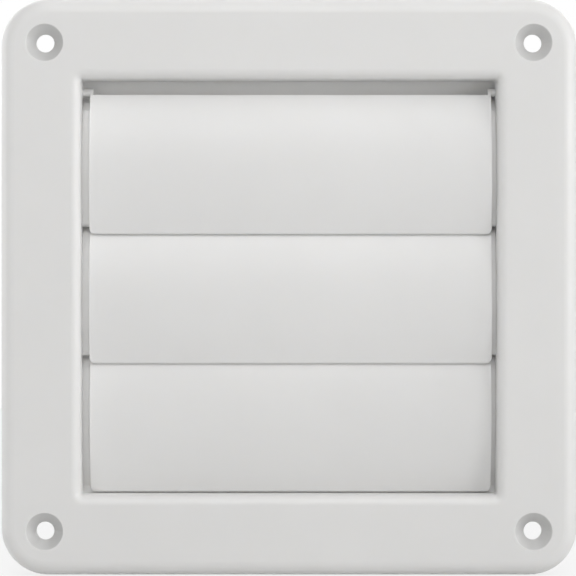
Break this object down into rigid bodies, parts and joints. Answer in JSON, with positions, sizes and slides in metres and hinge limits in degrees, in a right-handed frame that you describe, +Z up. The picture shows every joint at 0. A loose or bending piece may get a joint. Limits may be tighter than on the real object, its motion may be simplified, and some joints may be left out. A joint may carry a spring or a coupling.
{
  "type": "louvered vent cover",
  "caption": "Square moulded wall vent cover with gravity louvers hinged in a recessed well, countersunk corner screw holes and a round duct collar behind.",
  "frame": {"origin": "centre of the duct collar in the plane of the wall that the cover is screwed to", "axes": "+Y back into the wall along the duct, +X to the right seen from the front, +Z up; the front faces -Y"},
  "size_m": [0.1524, 0.052, 0.1524],
  "materials": {
    "frame_plastic": "moulded, satin gloss, off-white",
    "louver_plastic": "moulded, satin gloss, off-white"
  },
  "bodies": {
    "frame": {"frame": "frame_plastic"},
    "louver_upper": {"louver_upper": "louver_plastic"},
    "louver_middle": {"louver_middle": "louver_plastic"},
    "louver_lower": {"louver_lower": "louver_plastic"}
  },
  "joints": [
    {"name": "louver_upper_swing", "type": "hinge", "parent": "frame", "child": "louver_upper", "pos_m": [0, -0.006, 0.0518], "axis": [-1, 0, 0], "range_deg": [0, 75]},
    {"name": "louver_middle_swing", "type": "hinge", "parent": "frame", "child": "louver_middle", "pos_m": [0, -0.006, 0.0175], "axis": [-1, 0, 0], "range_deg": [0, 75]},
    {"name": "louver_lower_swing", "type": "hinge", "parent": "frame", "child": "louver_lower", "pos_m": [0, -0.006, -0.0168], "axis": [-1, 0, 0], "range_deg": [0, 75]}
  ],
  "couplings": [
    {"joint": "louver_middle_swing", "follows": "louver_upper_swing", "ratio": 1},
    {"joint": "louver_lower_swing", "follows": "louver_upper_swing", "ratio": 1}
  ]
}
